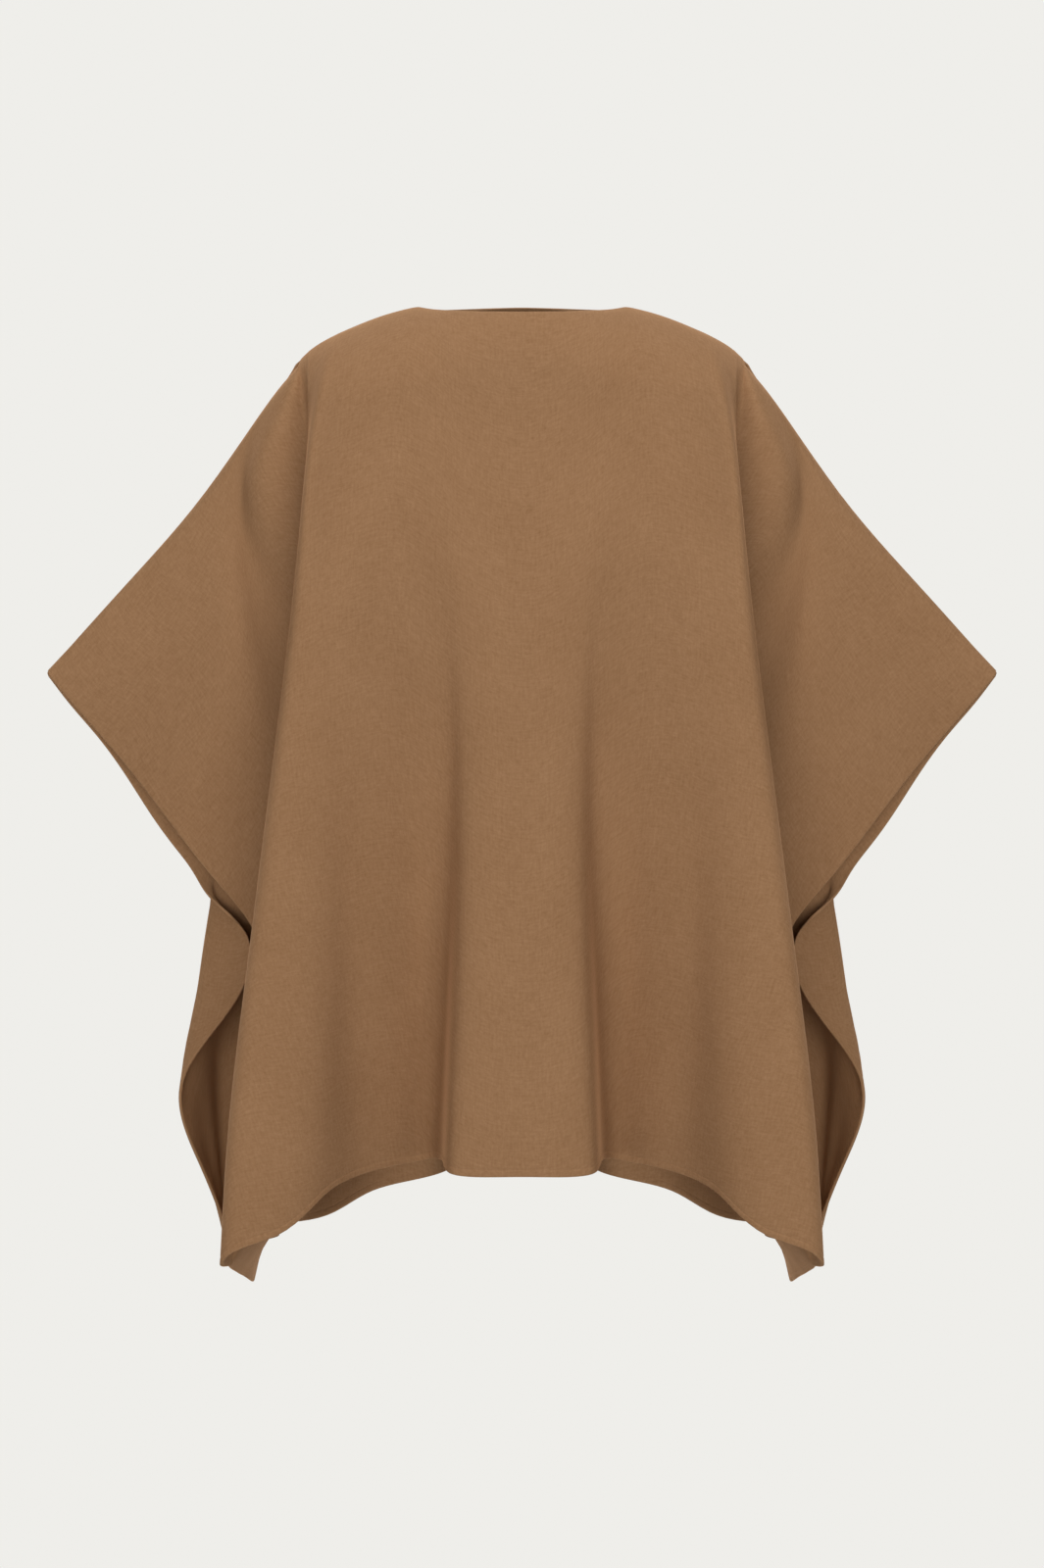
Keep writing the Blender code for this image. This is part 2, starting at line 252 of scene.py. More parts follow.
CLOUD = Grain(14.0, 11.0, 2.0, 0.5, 0.0)          # broad shading left by brushing
FLECK = Grain(330.0, 330.0, 3.0, 0.65, 0.5)       # clumps of fibre
WARP = Grain(430.0, 75.0, 2.0, 0.6, 0.3)          # yarns that run down the cloth
WEFT = Grain(65.0, 450.0, 2.0, 0.6, 0.3)          # yarns that run across it
FIBRE = Grain(1700.0, 1500.0, 2.0, 0.7, 0.25)     # single fibres
EVEN = 0.5                                        # a pattern's middle value

FILM_SIZE = 36.0              # mm, long side of the picture that the lens is given for

# Soft lights, in metres and watts: wide panels that a camera does not see.
Lamp = namedtuple("Lamp", "name place aim width height watts")

LAMPS = (
    Lamp("front_light", (0.0, -7.0, -1.4), (0.0, 0.0, -0.6), 9.0, 1.8, 395.0),
    Lamp("top_light", (0.0, -0.8, 2.6), (0.0, 0.0, -0.3), 3.4, 2.0, 62.0),
    Lamp("left_light", (-5.0, -2.0, -0.8), (0.0, 0.0, -0.6), 2.0, 2.0, 18.0),
    Lamp("right_light", (5.0, -2.0, -0.8), (0.0, 0.0, -0.6), 2.0, 2.0, 18.0),
    Lamp("floor_light", (0.0, 0.9, -1.9), (0.0, 0.0, -0.7), 3.4, 1.4, 4.0),
    Lamp("left_back_light", (-3.4, 2.2, 0.0), (0.0, 0.0, -0.5), 1.4, 2.0, 50.0),
    Lamp("right_back_light", (3.4, 2.2, 0.0), (0.0, 0.0, -0.5), 1.4, 2.0, 50.0),
    Lamp("back_light", (0.0, 6.0, -0.6), (0.0, 0.0, -0.6), 7.0, 2.4, 260.0),
    Lamp("high_back_light", (0.0, 1.6, 2.4), (0.0, 0.0, -0.2), 3.4, 1.6, 30.0),
)


def spline(knots, values, at):
    """Natural cubic: piecewise cubics through values, a row per knot, whose second
    derivative is continuous and is zero at both ends, read at the places in at."""
    count = len(knots)
    gap = np.diff(knots)
    slope = np.diff(values, axis=0) / gap[:, None]
    system = np.eye(count)
    right = np.zeros_like(values, dtype=float)
    inner = np.arange(1, count - 1)
    system[inner, inner - 1] = gap[:-1]
    system[inner, inner] = 2.0 * (gap[:-1] + gap[1:])
    system[inner, inner + 1] = gap[1:]
    right[1:-1] = 6.0 * np.diff(slope, axis=0)
    bend = np.linalg.solve(system, right)
    k = np.clip(np.searchsorted(knots, at, side="right") - 1, 0, count - 2)
    t = (at - knots[k])[:, None]
    h = gap[k][:, None]
    return (values[k] + t * (slope[k] - h * (2.0 * bend[k] + bend[k + 1]) / 6.0)
            + t ** 2 * bend[k] / 2.0 + t ** 3 * (bend[k + 1] - bend[k]) / (6.0 * h))


def unit(vectors):
    """Vectors of length one in the same directions: each over its own length."""
    return vectors / np.maximum(np.linalg.norm(vectors, axis=-1, keepdims=True), TINY)


def shoulder_point(along):
    """Distance across and height of the shoulder seam: the running sum of the cosine
    and of the sine of its slope, at every mm of cloth, the slope being a mean over
    SEAM_EASE mm either side."""
    run = np.arange(0.0, SHOULDER[-1].along + SEAM_SPARE)
    angle = np.radians(np.interp(run, [s.along for s in SHOULDER],
                                 [s.degrees for s in SHOULDER]))
    window = np.ones(2 * SEAM_EASE + 1) / (2 * SEAM_EASE + 1)
    angle = np.convolve(np.pad(angle, SEAM_EASE, mode="edge"), window, "valid")
    middle = (angle[1:] + angle[:-1]) / 2.0
    across = NECK_HALF_WIDTH + np.concatenate([[0.0], np.cumsum(np.cos(middle))])
    height = -np.concatenate([[0.0], np.cumsum(np.sin(middle))])
    return np.interp(along, run, across), np.interp(along, run, height)


def top_edge(panel):
    """Start of each fold line: past the neckline it lies on the shoulder seam.  On the
    neckline a quarter turn of the sine gives its distance across, and powers of the
    cosine its distance out and its height."""
    seam = np.array([fold.seam for fold in panel.folds], dtype=float)
    beyond = seam - panel.neck_arc
    across, height = shoulder_point(np.maximum(beyond, 0.0))
    turn = np.clip(seam / panel.neck_arc, 0.0, 1.0) * math.pi / 2.0
    on_neck = beyond < 0.0
    side = math.copysign(1.0, panel.neck_out)
    across = np.where(on_neck, NECK_HALF_WIDTH * np.sin(turn), across)
    out = np.where(on_neck, panel.neck_out * np.cos(turn) ** NECK_ROUNDING, 0.0)
    height = np.where(on_neck, panel.neck_height * np.cos(turn) ** panel.neck_spread, height)
    return np.stack([across, out + side * SEAM_GAP / 2.0, height], axis=1)


def fold_lines(panel, shares):
    """Points of every fold line at the shares of its drop, both halves.  Down a line
    the places follow a cubic through its levels, each swing adds a bell exp(-x * x),
    the height falls evenly, and a quarter of an ellipse turns the cloth off the seam
    over the line's roll."""
    top = top_edge(panel)
    lines = np.zeros((len(panel.folds), len(shares), 3))
    for i, fold in enumerate(panel.folds):
        across = np.array((top[i, 0],) + tuple(fold.across))
        out = np.array(fold.out, dtype=float)
        placed = spline(np.array(LEVELS), np.stack([across, out], axis=1), shares)
        for swing in panel.swings:
            if swing.fold == fold.name:
                felt = np.exp(-((shares - swing.at) / swing.reach) ** 2)
                placed[:, 0] += felt * swing.across
        drop = top[i, 2] - fold.hem
        turned = np.clip(shares * drop / fold.roll, 0.0, 1.0)
        eased = np.sqrt(1.0 - (1.0 - turned) ** 2)
        lines[i, :, 0] = placed[:, 0]
        lines[i, :, 1] = top[i, 1] + (placed[:, 1] - top[i, 1]) * eased
        lines[i, :, 2] = top[i, 2] - shares * drop
    mirrored = lines[:0:-1] * np.array([-1.0, 1.0, 1.0])
    return np.concatenate([mirrored, lines])


def drape(panel, places, shares):
    """Middle of the cloth: a cubic across the fold lines at every share of the drop,
    each line standing its mean distance on the cloth from the next.  places run
    -1..1 from side edge to side edge."""
    lines = fold_lines(panel, shares)
    at_levels = fold_lines(panel, np.array(LEVELS))[:, 1:]
    chord = np.linalg.norm(np.diff(at_levels, axis=0), axis=2).mean(axis=1)
    knots = np.concatenate([[0.0], np.cumsum(chord)])
    knots -= knots[len(knots) // 2]
    flat = lines.reshape(len(knots), -1)
    return spline(knots, flat, places * knots[-1]).reshape(len(places), len(shares), 3)


def rim_and_middle(count, length):
    """Distances along a strip of cloth: the rim steps at both ends, even between."""
    rim = np.array(RIM_STEPS)
    middle = np.linspace(rim[-1], length - rim[-1], count - 2 * (len(rim) - 1))
    return np.concatenate([rim[:-1], middle, length - rim[-2::-1]])


def column_places(panel):
    """Places of the columns: the rim steps at both side edges, and between them
    spaced so that mm of cloth plus turning, at FOLD_CARE mm a radian, is shared
    evenly.  The two middle columns stand either side of the centre line."""
    fine = np.linspace(0.0, 1.0, SAMPLES_ACROSS)
    grid = drape(panel, fine, np.linspace(TURN_FROM, 1.0, TURN_HEIGHTS))
    step = np.diff(grid, axis=0)
    turn = np.linalg.norm(np.diff(unit(step), axis=0), axis=2)
    length = np.linalg.norm(step, axis=2).mean(axis=1)
    cost = length.copy()
    cost[1:] += FOLD_CARE * turn.mean(axis=1)
    along = np.concatenate([[0.0], np.cumsum(length)])
    spent = np.concatenate([[0.0], np.cumsum(cost)])
    rim = np.array(RIM_STEPS)
    last = np.interp(along[-1] - rim[-1], along, spent)
    half = COLUMNS // 2 - (len(rim) - 1)
    middle = np.interp((np.arange(half) + 0.5) / (half - 0.5) * last, spent, fine)
    outer = np.interp(along[-1] - rim[-2::-1], along, fine)
    right = np.concatenate([middle, outer])
    return np.concatenate([-right[::-1], right])


def at_index(grid, index):
    """Reads a grid of points at fractional places along its second axis: the cubic
    through the four nearest points (Catmull-Rom)."""
    count = grid.shape[1]
    base = np.clip(np.floor(index).astype(int), 0, count - 2)
    t = (index - base)[:, :, None]
    column = np.arange(grid.shape[0])[:, None]
    before = grid[column, np.maximum(base - 1, 0)]
    start = grid[column, base]
    end = grid[column, base + 1]
    after = grid[column, np.minimum(base + 2, count - 1)]
    return start + 0.5 * t * (end - before + t * (
        2.0 * before - 5.0 * start + 4.0 * end - after
        + t * (3.0 * (start - end) + after - before)))


def cloth_grid(panel):
    """Grid of points on the middle of the cloth, evenly spaced by length down each
    column, and the distance of every point from the centre line and from the top
    edge, measured on the cloth."""
    places = column_places(panel)
    shares = np.linspace(0.0, 1.0, SAMPLES_DOWN) ** SAMPLE_CROWDING
    samples = drape(panel, places, shares)
    step = np.linalg.norm(np.diff(samples, axis=1), axis=2)
    length = np.concatenate([np.zeros((len(places), 1)), np.cumsum(step, axis=1)], axis=1)

    # Each column keeps the plain column's rims and stretches the rest to its length.
    plain = rim_and_middle(ROWS, PLAIN_LENGTH)
    rim = RIM_STEPS[-1]
    full = length[:, -1:]
    wanted = np.where(plain < rim, plain,
                      rim + (plain - rim) * (full - 2 * rim) / (PLAIN_LENGTH - 2 * rim))
    wanted = np.where(plain > PLAIN_LENGTH - rim, full - (PLAIN_LENGTH - plain), wanted)

    # Shifted by more than a column's length, all columns are looked up in one row.
    shift = COLUMN_SHIFT * np.arange(len(places))[:, None]
    number = np.broadcast_to(np.arange(SAMPLES_DOWN, dtype=float), length.shape)
    index = np.interp((wanted + shift).ravel(), (length + shift).ravel(), number.ravel())
    grid = at_index(samples, index.reshape(wanted.shape))
    row = np.linalg.norm(np.diff(grid, axis=0), axis=2)
    along = np.concatenate([np.zeros((1, ROWS)), np.cumsum(row, axis=0)], axis=0)
    middle = (along[COLUMNS // 2 - 1] + along[COLUMNS // 2]) / 2.0
    return grid, along - middle, wanted


def crease_height(creases, along, down):
    """Sum of the creases: each is a bell across its line, exp(-(d / width)^2), that
    fades to nothing at both ends as a half sine."""
    total = np.zeros_like(along)
    for crease in creases:
        start = np.array((crease.along, crease.down), dtype=float)
        run = np.array((crease.to_along, crease.to_down), dtype=float) - start
        long = np.hypot(*run)
        ahead = ((np.abs(along) - start[0]) * run[0] + (down - start[1]) * run[1]) / long
        aside = ((np.abs(along) - start[0]) * run[1] - (down - start[1]) * run[0]) / long
        fade = np.sin(np.pi * np.clip(ahead / long, 0.0, 1.0))
        total += crease.rise * fade * np.exp(-(aside / crease.width) ** 2)
    return total


def round_corners(grid, along, from_side, from_top, from_hem, radius):
    """Draws the four cloth corners in: a square of the radius becomes a quarter disc,
    as x turns to x * sqrt(1 - y * y / 2) and y to y * sqrt(1 - x * x / 2)."""
    over_side = np.clip(radius - from_side, 0.0, radius)
    over_end = np.clip(radius - np.minimum(from_hem, from_top), 0.0, radius)
    pull_side = over_side * (1.0 - np.sqrt(1.0 - 0.5 * (over_end / radius) ** 2))
    pull_end = over_end * (1.0 - np.sqrt(1.0 - 0.5 * (over_side / radius) ** 2))
    across = unit(np.gradient(grid, axis=0))
    downward = unit(np.gradient(grid, axis=1))
    return (grid - across * (np.sign(along) * pull_side)[:, :, None]
            + downward * (np.sign(from_hem - from_top) * pull_end)[:, :, None])


def half_thickness(edge, felled, settings):
    """Half a wall, rounded off by a quarter circle at every edge.  The turned-in edge
    is a little thicker and ends in a smooth step (hyperbolic tangent), and where it
    is felled down a fine groove has the form exp(-x * x)."""
    half = settings.wall / MM / 2.0
    rounded = np.sqrt(1.0 - (1.0 - np.clip(edge / half, 0.0, 1.0)) ** 2)
    past = felled - settings.edge_width / MM
    turned_in = 0.5 - 0.5 * np.tanh(past / EDGE_FADE / 2.0)
    groove = np.exp(-(past / GROOVE_REACH) ** 2)
    return rounded * (half + settings.edge_rise / MM * turned_in - settings.groove / MM * groove)


def build_cloth(panel, settings):
    """The panel's closed shell: two layers, half a thickness either side of the
    middle of the cloth along its normal, that meet in a shared rim."""
    grid, along, down = cloth_grid(panel)
    side = math.copysign(1.0, panel.neck_out)
    from_side = np.minimum(along - along[:1], along[-1:] - along)
    from_hem = down[:, -1:] - down
    felled = np.minimum(from_side, from_hem)
    edge = np.minimum(felled, down)
    grid = round_corners(grid, along, from_side, down, from_hem, settings.corner_radius / MM)
    normal = unit(np.cross(np.gradient(grid, axis=1), np.gradient(grid, axis=0))) * -side
    thick = half_thickness(edge, felled, settings)
    lift = crease_height(panel.creases, along, down)
    outer = grid + normal * (lift + thick)[:, :, None]
    inner = grid + normal * (lift - thick)[:, :, None]

    # Along the shoulder seam both layers stay on the panel's own side of the gap.
    for layer in (outer, inner):
        layer[:, 0, 1] = side * np.maximum(side * layer[:, 0, 1], SEAM_GAP / 2.0)

    mesh = shell_mesh(panel.name, outer, inner, side < 0.0)
    add_cloth_layout(mesh, along, down, edge)
    body = bpy.data.objects.new(panel.name, mesh)
    bpy.context.scene.collection.objects.link(body)
    return body


def shell_mesh(name, outer, inner, front):
    """Closed mesh of two point grids, four-sided faces between neighbours, that meet
    in the outer one's border.  front says that the outer grid faces the front."""
    columns, rows = outer.shape[:2]
    out_at = np.arange(columns * rows).reshape(columns, rows)
    in_at = out_at.copy()
    in_at[1:-1, 1:-1] = columns * rows + np.arange((columns - 2) * (rows - 2)).reshape(
        columns - 2, rows - 2)
    points = np.concatenate([outer.reshape(-1, 3), inner[1:-1, 1:-1].reshape(-1, 3)])

    def quads(at, flip):
        corners = [at[:-1, :-1], at[:-1, 1:], at[1:, 1:], at[1:, :-1]]
        if flip:
            corners.reverse()
        return np.stack(corners, axis=2).reshape(-1, 4)

    faces = np.concatenate([quads(out_at, not front), quads(in_at, front)])
    mesh = bpy.data.meshes.new(name)
    mesh.vertices.add(len(points))
    mesh.vertices.foreach_set("co", (points * MM).astype(np.float32).ravel())
    mesh.loops.add(faces.size)
    mesh.loops.foreach_set("vertex_index", faces.astype(np.int32).ravel())
    mesh.polygons.add(len(faces))
    mesh.polygons.foreach_set("loop_start", np.arange(0, faces.size, 4, dtype=np.int32))
    mesh.polygons.foreach_set("use_smooth", np.ones(len(faces), dtype=bool))
    mesh.update(calc_edges=True)
    mesh.validate()
    return mesh


def add_cloth_layout(mesh, along, down, edge):
    """UV map "cloth" in metres of cloth, across and down, and the distance from the
    nearest edge in metres as the attribute "edge"."""

    def both(values):
        return np.concatenate([values.ravel(), values[1:-1, 1:-1].ravel()])

    place = np.stack([both(along), -both(down)], axis=1) * MM
    loops = np.zeros(len(mesh.loops), dtype=np.int32)
    mesh.loops.foreach_get("vertex_index", loops)
    layer = mesh.uv_layers.new(name="cloth")
    layer.data.foreach_set("uv", place[loops].astype(np.float32).ravel())
    reach = mesh.attributes.new("edge", "FLOAT", "POINT")
    reach.data.foreach_set("value", (both(edge) * MM).astype(np.float32))


# Wool. ----------------------------------------------------------------------------------


class Socket:
    """A shader value that takes part in Python arithmetic; each step adds a Math node."""

    def __init__(self, tree, socket):
        self.tree = tree
        self.socket = socket

    def maths(self, operation, first, second):
        node = self.tree.nodes.new("ShaderNodeMath")
        node.operation = operation
        plug(node.inputs[0], first)
        plug(node.inputs[1], second)
        return Socket(self.tree, node.outputs[0])

    def __add__(self, other):
        return self.maths("ADD", self, other)

    def __radd__(self, other):
        return self.maths("ADD", other, self)

    def __sub__(self, other):
        return self.maths("SUBTRACT", self, other)

    def __rsub__(self, other):
        return self.maths("SUBTRACT", other, self)

    def __mul__(self, other):
        return self.maths("MULTIPLY", self, other)

    def __rmul__(self, other):
        return self.maths("MULTIPLY", other, self)


def plug(place, value):
    """Links a shader value to a node's socket, or sets the socket to a plain value."""
    if isinstance(value, Socket):
        value.tree.links.new(value.socket, place)
    else:
        place.default_value = value


# Numbers of the sockets that a colour mix uses; their names stand more than once.
MIX_SHARE = 0
MIX_FIRST = 6
MIX_SECOND = 7
MIX_COLOUR = 2


class Finish:
    """A material, to which nodes are added by type, settings and sockets."""

    def __init__(self, name):
        self.material = bpy.data.materials.new(name)
        self.material.use_nodes = True
        self.tree = self.material.node_tree

    def add(self, kind, settings, sockets, output=0):
        """A node of that kind: its settings are set first, then its sockets, each
        given by name or number.  Returns its output of that name or number."""
        node = self.tree.nodes.new(kind)
        for name, value in settings.items():
            setattr(node, name, value)
        for name, value in sockets.items():
            plug(node.inputs[name], value)
        return Socket(self.tree, node.outputs[output])

    def mix(self, share, first, second):
        """Colour between first and second."""
        return self.add("ShaderNodeMix", {"data_type": "RGBA"},
                        {MIX_SHARE: share, MIX_FIRST: first, MIX_SECOND: second}, MIX_COLOUR)

    def surface(self, sockets):
        """Sets or links the sockets of the material's surface shader."""
        shader = self.tree.nodes["Principled BSDF"]
        for name, value in sockets.items():
            plug(shader.inputs[name], value)


def wool(name, settings):
    """Felted double-faced wool: fibres in two tones, a trace of the weave under the
    nap, cloudy from brushing, paled along every edge by a painted highlight where the nap catches
    the light, with a soft sheen."""
    finish = Finish(name)
    cloth = finish.add("ShaderNodeUVMap", {"uv_map": "cloth"}, {})

    def pattern(grain):
        placed = finish.add("ShaderNodeMapping", {},
                            {"Vector": cloth, "Scale": (grain.across, grain.down, 1.0)})
        return finish.add("ShaderNodeTexNoise", {"noise_dimensions": "2D"},
                          {"Vector": placed, "Scale": 1.0, "Detail": grain.detail,
                           "Roughness": grain.roughness})

    cloud = pattern(CLOUD)
    fleck = pattern(FLECK)
    warp = pattern(WARP)
    weft = pattern(WEFT)
    fibre = pattern(FIBRE)
    edge = finish.add("ShaderNodeAttribute", {"attribute_name": "edge"}, {}, "Fac")
    # Painted highlight: the base colour is paled within a few mm of every edge, standing in for
    # the light that the nap catches at the rims.
    painted_edge_highlight = finish.add("ShaderNodeMapRange", {"interpolation_type": "SMOOTHSTEP"},
                      {"Value": edge, "From Min": 0.0, "From Max": settings.painted_highlight_width,
                       "To Min": 1.0, "To Max": 0.0})
    tone = (EVEN + (cloud - EVEN) * settings.cloud + (fleck - EVEN) * settings.fleck
            + (warp - EVEN + weft - EVEN) * settings.weave + (fibre - EVEN) * settings.fibre
            + painted_edge_highlight * settings.edge_light)
    height = (fleck * FLECK.relief + warp * WARP.relief + weft * WEFT.relief
              + fibre * FIBRE.relief)
    dark = tuple(settings.dark_fibre) + (1.0,)
    light = tuple(settings.light_fibre) + (1.0,)
    finish.surface({
        "Base Color": finish.mix(tone, dark, light),
        "Normal": finish.add("ShaderNodeBump", {}, {
            "Strength": settings.nap_relief, "Distance": settings.nap_depth, "Height": height}),
        "Roughness": settings.roughness,
        "Specular IOR Level": settings.gloss,
        "Sheen Weight": settings.sheen,
        "Sheen Roughness": settings.sheen_spread,
        "Sheen Tint": light,
    })
    return finish.material


# Settings. ------------------------------------------------------------------------------


class CapeClothSettings(bpy.types.PropertyGroup):
    wall: bpy.props.FloatProperty(
        name="Cloth thickness", description="Thickness of the double-faced wool",
        default=2.8 * MM, min=0.001, max=0.004, unit="LENGTH")
    edge_width: bpy.props.FloatProperty(
        name="Edge width", description="Width of the turned-in edge at the hem and the sides",
        default=7.0 * MM, min=0.003, max=0.02, unit="LENGTH")
    edge_rise: bpy.props.FloatProperty(
        name="Edge rise", description="Extra height of the turned-in edge on each face",
        default=0.2 * MM, min=0.0, max=0.001, unit="LENGTH")
    groove: bpy.props.FloatProperty(
        name="Felling groove", description="Depth of the groove along the felled edge",
        default=0.3 * MM, min=0.0, max=0.001, unit="LENGTH")
    corner_radius: bpy.props.FloatProperty(
        name="Corner radius", description="Rounding of the four cloth corners of a panel",
        default=7.0 * MM, min=0.001, max=0.03, unit="LENGTH")


class CapeWoolSettings(bpy.types.PropertyGroup):
    dark_fibre: bpy.props.FloatVectorProperty(
        name="Dark fibre", description="Colour of the darker camel fibres",
        default=(0.271, 0.1385, 0.062), min=0.0, max=1.0, subtype="COLOR")
    light_fibre: bpy.props.FloatVectorProperty(
        name="Light fibre", description="Colour of the lighter camel fibres",
        default=(0.420, 0.2365, 0.121), min=0.0, max=1.0, subtype="COLOR")
    cloud: bpy.props.FloatProperty(
        name="Cloudiness", description="Strength of the broad shading left by brushing",
        default=0.28, min=0.0, max=1.0, subtype="FACTOR")
    fleck: bpy.props.FloatProperty(
        name="Flecks", description="Strength of the fibre clumps",
        default=0.65, min=0.0, max=2.0, subtype="FACTOR")
    weave: bpy.props.FloatProperty(
        name="Weave", description="How far the weave shows through the nap",
        default=0.52, min=0.0, max=2.0, subtype="FACTOR")
    fibre: bpy.props.FloatProperty(
        name="Fibres", description="Strength of single fibres",
        default=0.35, min=0.0, max=2.0, subtype="FACTOR")
    # Painted highlight along every edge: width and strength of the paler rim painted into the base
    # colour where the nap catches light.
    painted_highlight_width: bpy.props.FloatProperty(
        name="Pale edge", description="Width of the paler rim along every edge",
        default=2.0 * MM, min=0.0, max=0.01, unit="LENGTH")
    edge_light: bpy.props.FloatProperty(
        name="Edge paleness", description="How much paler the rim is",
        default=0.50, min=0.0, max=1.0, subtype="FACTOR")
    nap_relief: bpy.props.FloatProperty(
        name="Nap relief", description="Strength of the felted surface's relief",
        default=0.45, min=0.0, max=1.0, subtype="FACTOR")
    nap_depth: bpy.props.FloatProperty(
        name="Nap depth", description="Depth of the felted surface's relief",
        default=0.5 * MM, min=0.0, max=0.003, unit="LENGTH")
    roughness: bpy.props.FloatProperty(
        name="Roughness", description="How matt the nap is",
        default=0.93, min=0.0, max=1.0, subtype="FACTOR")
    gloss: bpy.props.FloatProperty(
        name="Gloss", description="Strength of the light that the fibres mirror",
        default=0.12, min=0.0, max=1.0, subtype="FACTOR")
    sheen: bpy.props.FloatProperty(
        name="Sheen", description="Soft light that the nap catches at grazing angles",
        default=1.0, min=0.0, max=1.0, subtype="FACTOR")
    sheen_spread: bpy.props.FloatProperty(
        name="Sheen spread", description="How far the sheen spreads from the very edge",
        default=0.3, min=0.0, max=1.0, subtype="FACTOR")


class CapeStageSettings(bpy.types.PropertyGroup):
    paper: bpy.props.FloatVectorProperty(
        name="Backdrop", description="Colour of the pale floor and backdrop",
        default=(0.871, 0.863, 0.831), min=0.0, max=1.0, subtype="COLOR")
    floor_drop: bpy.props.FloatProperty(
        name="Floor", description="Depth of the floor below the shoulder neck points",
        default=1.42, min=1.1, max=3.0, unit="LENGTH")
    floor_radius: bpy.props.FloatProperty(
        name="Floor radius", description="Radius of the flat floor, before it sweeps up",
        default=5.6, min=4.0, max=20.0, unit="LENGTH")
    sweep: bpy.props.FloatProperty(
        name="Sweep", description="Radius of the curve from floor to wall",
        default=2.4, min=0.5, max=8.0, unit="LENGTH")
    wall_height: bpy.props.FloatProperty(
        name="Wall", description="Height of the backdrop's wall above its sweep",
        default=3.0, min=0.0, max=10.0, unit="LENGTH")
    glow: bpy.props.FloatProperty(
        name="Backdrop glow", description="Light that the lit-through backdrop gives",
        default=0.99, min=0.0, max=2.0)
    room_light: bpy.props.FloatProperty(
        name="Room light", description="Strength of the even light from all round",
        default=0.02, min=0.0, max=5.0)
    lamp_share: bpy.props.FloatProperty(
        name="Soft lights", description="Share of their full power that the soft lights give",
        default=1.0, min=0.0, max=5.0)
    camera_back: bpy.props.FloatProperty(
        name="Camera distance", description="Distance of the camera in front of the mid plane",
        default=3.6, min=1.0, max=20.0, unit="LENGTH")
    camera_drop: bpy.props.FloatProperty(
        name="Camera drop", description="Depth of the level camera below the neck points",
        default=0.485, min=0.0, max=2.0, unit="LENGTH")
    lens: bpy.props.FloatProperty(
        name="Lens", description="Focal length on a 36 mm long side",
        default=81.0, min=20.0, max=200.0)


# Operators. ------------------------------------------------------------------------------


def dress(panel, context):
    """Builds a panel's cloth, gives it its wool and fits it to the frame."""
    scene = context.scene
    body = build_cloth(panel, scene.cape_cloth)
    body.data.materials.append(wool(panel.slot, scene.cape_wool))
    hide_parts(panel.node)
    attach(body, "root")


class CAPE_OT_front_panel(bpy.types.Operator):
    """Build the front panel's cloth over its solid"""
    bl_idname = "cape.front_panel"
    bl_label = "Front Panel"
    bl_options = {"REGISTER", "UNDO"}

    def execute(self, context):
        dress(FRONT, context)
        return {"FINISHED"}


class CAPE_OT_back_panel(bpy.types.Operator):
    """Build the back panel's cloth over its solid"""
    bl_idname = "cape.back_panel"
    bl_label = "Back Panel"
    bl_options = {"REGISTER", "UNDO"}

    def execute(self, context):
        dress(BACK, context)
        return {"FINISHED"}


def backdrop_mesh(settings):
    """Round backdrop: its profile, a flat floor, a quarter circle and an upright
    wall, is turned once about the upright axis, and a small disc closes its middle."""
    flat = np.linspace(FIRST_RING, settings.floor_radius, FLOOR_RINGS)
    bend = np.linspace(0.0, math.pi / 2.0, SWEEP_RINGS + 1)[1:]
    rise = np.linspace(0.0, settings.wall_height, WALL_RINGS + 1)[1:]
    reach = np.concatenate([flat, settings.floor_radius + settings.sweep * np.sin(bend),
                            np.full(WALL_RINGS, settings.floor_radius + settings.sweep)])
    height = np.concatenate([np.zeros(FLOOR_RINGS), settings.sweep * (1.0 - np.cos(bend)),
                             settings.sweep + rise]) - settings.floor_drop
    turn = np.linspace(0.0, 2.0 * math.pi, BACKDROP_SPOKES, endpoint=False)
    points = np.stack([np.outer(np.sin(turn), reach), np.outer(-np.cos(turn), reach),
                       np.broadcast_to(height, (len(turn), len(height)))], axis=2)
    at = np.arange(points.shape[0] * points.shape[1]).reshape(points.shape[:2])
    ahead = np.roll(at, -1, axis=0)
    faces = np.stack([ahead[:, :-1], ahead[:, 1:], at[:, 1:], at[:, :-1]], axis=2)
    disc = at[::-1, 0]
    mesh = bpy.data.meshes.new("backdrop")
    mesh.from_pydata(points.reshape(-1, 3).tolist(), [],
                     faces.reshape(-1, 4).tolist() + [disc.tolist()])
    mesh.update()
    mesh.shade_smooth()
    return mesh


def add_backdrop(scene, settings):
    """Pale paper that gives its own even light to the camera alone."""
    floor = bpy.data.objects.new("backdrop", backdrop_mesh(settings))
    scene.collection.objects.link(floor)
    finish = Finish("backdrop_paper")
    finish.surface({
        "Base Color": (0.0, 0.0, 0.0, 1.0),
        "Roughness": 1.0,
        "Specular IOR Level": 0.0,
        "Emission Color": tuple(settings.paper) + (1.0,),
        "Emission Strength": settings.glow,
    })
    finish.material.cycles.emission_sampling = "NONE"
    floor.data.materials.append(finish.material)
    for ray in ("visible_diffuse", "visible_glossy", "visible_shadow"):
        setattr(floor, ray, False)


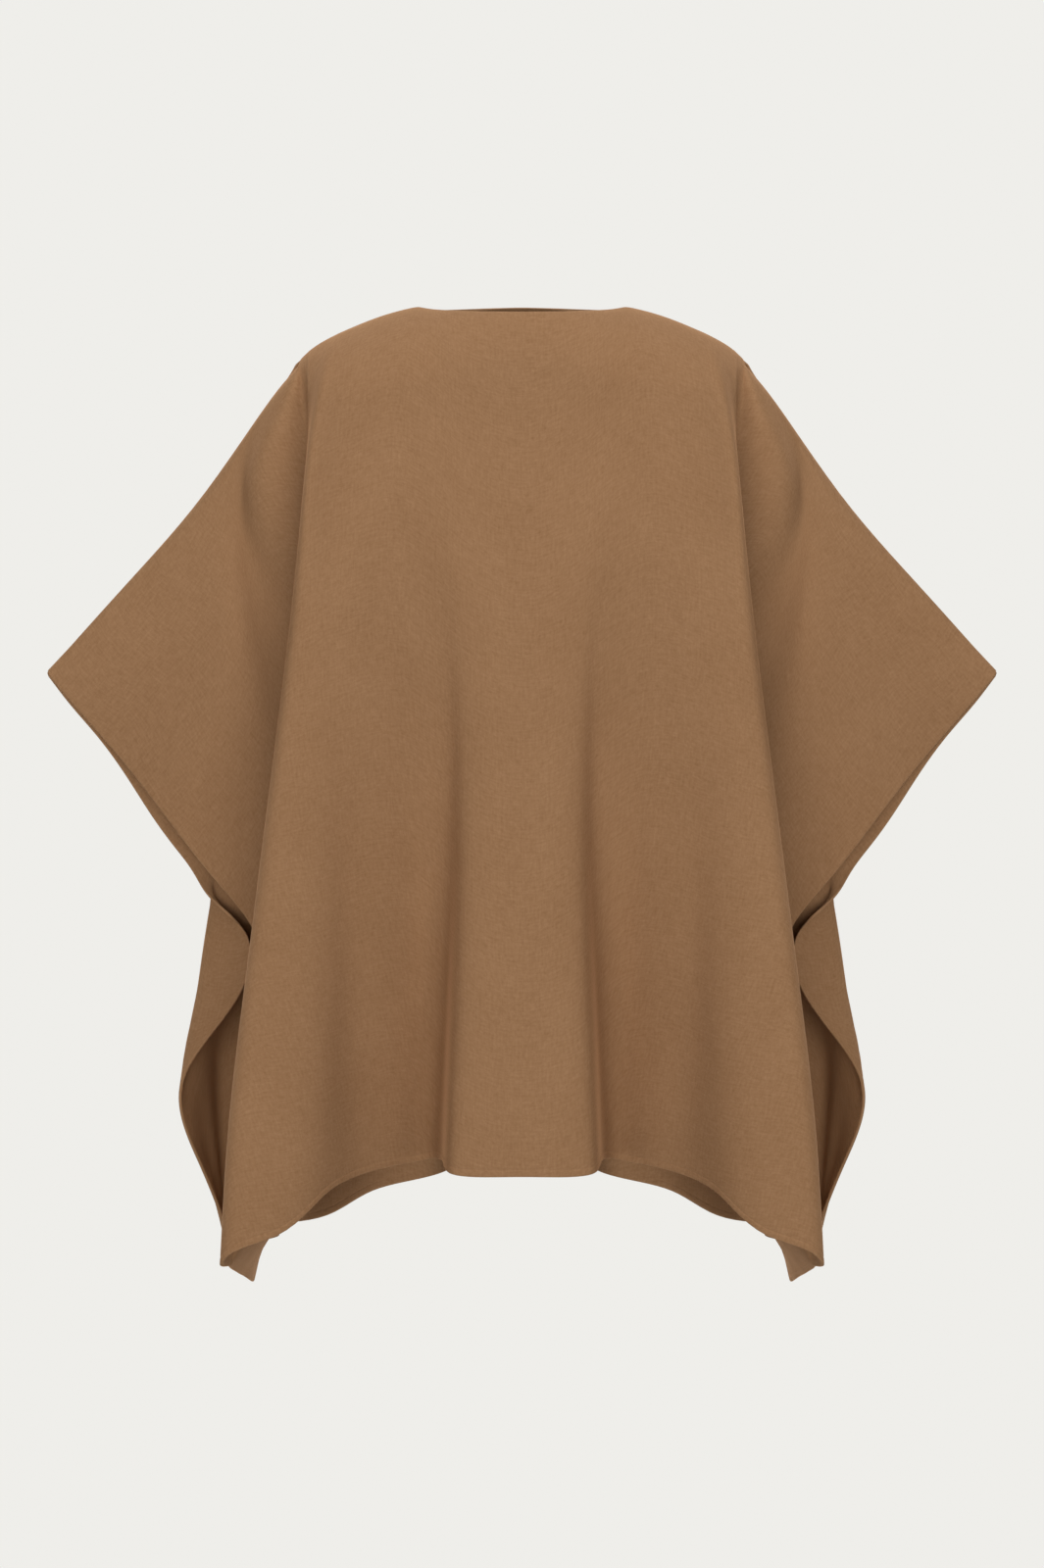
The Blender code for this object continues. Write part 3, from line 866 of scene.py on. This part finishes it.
def add_lights(scene, settings):
    """A faint even light from all round and the soft panels of the LAMPS table."""
    world = bpy.data.worlds.new("room_light")
    world.use_nodes = True
    sky = world.node_tree.nodes["Background"]
    sky.inputs["Color"].default_value = tuple(settings.paper) + (1.0,)
    sky.inputs["Strength"].default_value = settings.room_light
    scene.world = world
    for lamp in LAMPS:
        panel = bpy.data.lights.new(lamp.name, "AREA")
        panel.shape = "RECTANGLE"
        panel.size = lamp.width
        panel.size_y = lamp.height
        panel.energy = lamp.watts * settings.lamp_share
        hung = bpy.data.objects.new(lamp.name, panel)
        hung.location = lamp.place
        toward = Vector(lamp.aim) - Vector(lamp.place)
        hung.rotation_euler = toward.to_track_quat("-Z", "Y").to_euler()
        hung.visible_camera = False
        scene.collection.objects.link(hung)


def add_camera(scene, settings):
    """Level camera straight in front."""
    view = bpy.data.cameras.new("camera")
    view.sensor_fit = "AUTO"
    view.sensor_width = FILM_SIZE
    view.lens = settings.lens
    camera = bpy.data.objects.new("camera", view)
    camera.location = (0.0, -settings.camera_back, -settings.camera_drop)
    camera.rotation_euler = (math.pi / 2.0, 0.0, 0.0)
    scene.collection.objects.link(camera)
    scene.camera = camera
    scene.view_settings.view_transform = "Standard"


class CAPE_OT_stage(bpy.types.Operator):
    """Build the pale floor and backdrop, the soft lights and the camera"""
    bl_idname = "cape.stage"
    bl_label = "Stage"
    bl_options = {"REGISTER", "UNDO"}

    def execute(self, context):
        settings = context.scene.cape_stage
        add_backdrop(context.scene, settings)
        add_lights(context.scene, settings)
        add_camera(context.scene, settings)
        return {"FINISHED"}


class CAPE_PT_sidebar(bpy.types.Panel):
    """The cape's pieces, sizes and colours in the sidebar"""
    bl_idname = "CAPE_PT_sidebar"
    bl_label = "Wool Cape"
    bl_space_type = "VIEW_3D"
    bl_region_type = "UI"
    bl_category = "Wool Cape"

    def draw(self, context):
        layout = self.layout
        layout.use_property_split = True
        for operator in OPERATORS:
            layout.operator(operator.bl_idname)
        for group in (context.scene.cape_cloth, context.scene.cape_wool, context.scene.cape_stage):
            box = layout.box()
            for name in group.bl_rna.properties.keys():
                if name not in ("rna_type", "name"):
                    box.prop(group, name)


OPERATORS = (CAPE_OT_front_panel, CAPE_OT_back_panel, CAPE_OT_stage)
CLASSES = (CapeClothSettings, CapeWoolSettings, CapeStageSettings) + OPERATORS + (CAPE_PT_sidebar,)


def register():
    for item in CLASSES:
        bpy.utils.register_class(item)
    bpy.types.Scene.cape_cloth = bpy.props.PointerProperty(type=CapeClothSettings)
    bpy.types.Scene.cape_wool = bpy.props.PointerProperty(type=CapeWoolSettings)
    bpy.types.Scene.cape_stage = bpy.props.PointerProperty(type=CapeStageSettings)


def unregister():
    for name in ("cape_cloth", "cape_wool", "cape_stage"):
        delattr(bpy.types.Scene, name)
    for item in reversed(CLASSES):
        bpy.utils.unregister_class(item)


def main():
    register()
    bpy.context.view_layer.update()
    bpy.ops.cape.front_panel()
    bpy.ops.cape.back_panel()
    bpy.ops.cape.stage()


if __name__ == "__main__":
    main()
